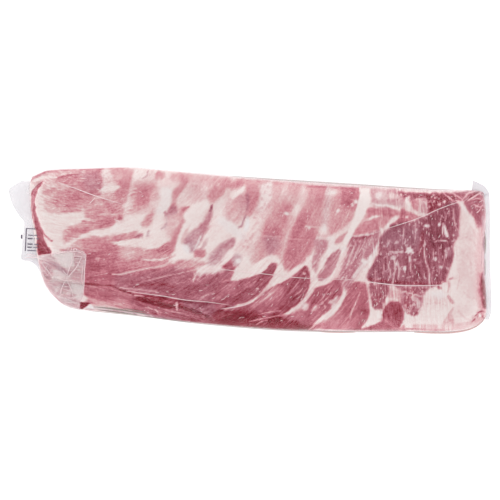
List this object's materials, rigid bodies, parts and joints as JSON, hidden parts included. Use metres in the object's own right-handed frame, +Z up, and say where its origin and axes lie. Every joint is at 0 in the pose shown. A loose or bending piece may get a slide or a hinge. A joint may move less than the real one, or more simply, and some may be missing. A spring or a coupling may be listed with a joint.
{
  "type": "vacuum-packed st. louis-style pork spare ribs",
  "caption": "Long low slab of raw pork ribs, meat side up, sealed in clear shrink film with thin seam flaps at its ends.",
  "frame": {"origin": "middle of the bounding box seen from above, on the flat base that the pack lies on", "axes": "+X along the rack towards its broad end, +Y towards the straight back edge, +Z up out of the meat side"},
  "size_m": [0.4372, 0.1414, 0.0357],
  "materials": {
    "pork_under_film": "clear glossy shrink film drawn tight over raw pork: rosy lean between bands of pale fat"
  },
  "bodies": {
    "root": {"rib_pack": "pork_under_film"}
  },
  "joints": []
}
